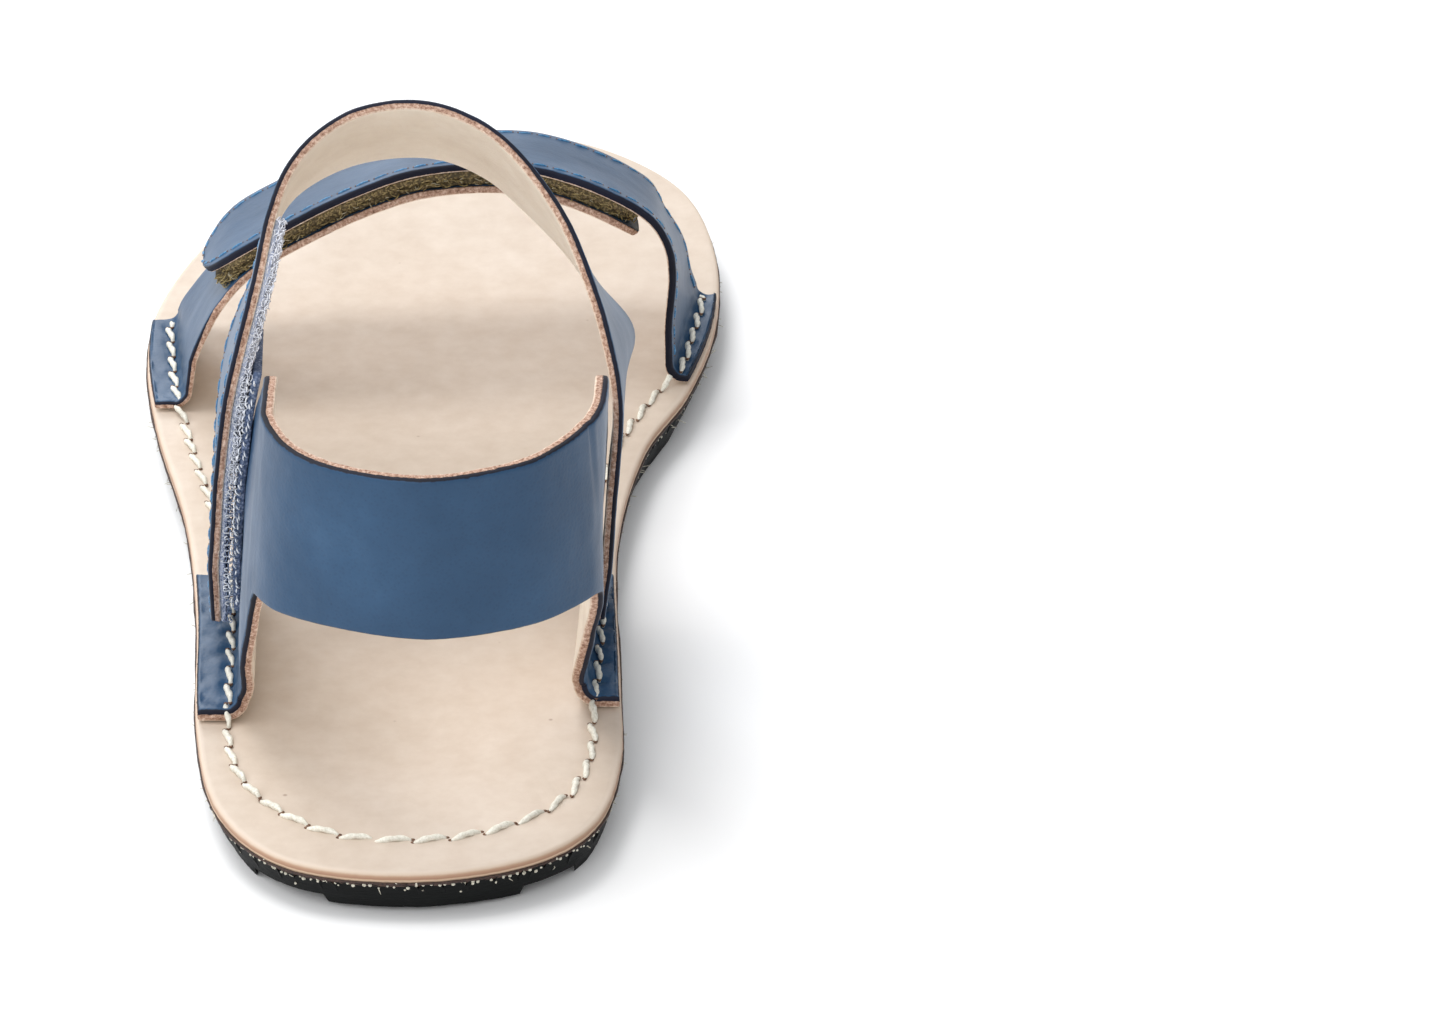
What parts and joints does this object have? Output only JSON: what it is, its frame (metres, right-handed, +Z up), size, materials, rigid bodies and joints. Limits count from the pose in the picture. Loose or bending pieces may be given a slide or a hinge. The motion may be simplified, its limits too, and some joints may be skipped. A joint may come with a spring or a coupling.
{
  "type": "leather strap sandal",
  "caption": "Left-foot leather sandal with a heel strap, an instep strap and a front strap, hook-and-loop closures, a leather footbed and a grooved rubber outsole.",
  "frame": {"origin": "centre of the sandal's bounding box in plan, on the floor", "axes": "+X to the inner (medial) side of the foot, +Y from the heel to the toes, +Z up"},
  "size_m": [0.105, 0.266, 0.1001],
  "materials": {
    "outsole_rubber": "matt recycled tyre rubber with pale fibre ends",
    "natural_leather": "smooth undyed leather",
    "blue_leather": "blue semi-gloss face, undyed back",
    "blue_loop": "looped pile",
    "blue_hook": "woven tape with hooks",
    "olive_loop": "looped pile",
    "olive_hook": "woven tape with hooks"
  },
  "bodies": {
    "root": {"outsole": "outsole_rubber", "footbed": "natural_leather", "heel_strap": "blue_leather", "instep_strap": "blue_leather", "front_over_strap": "blue_leather", "front_under_strap": "blue_leather", "instep_loop_tape": "blue_loop", "instep_hook_tape": "blue_hook", "front_loop_tape": "olive_loop", "front_hook_tape": "olive_hook"}
  },
  "joints": []
}
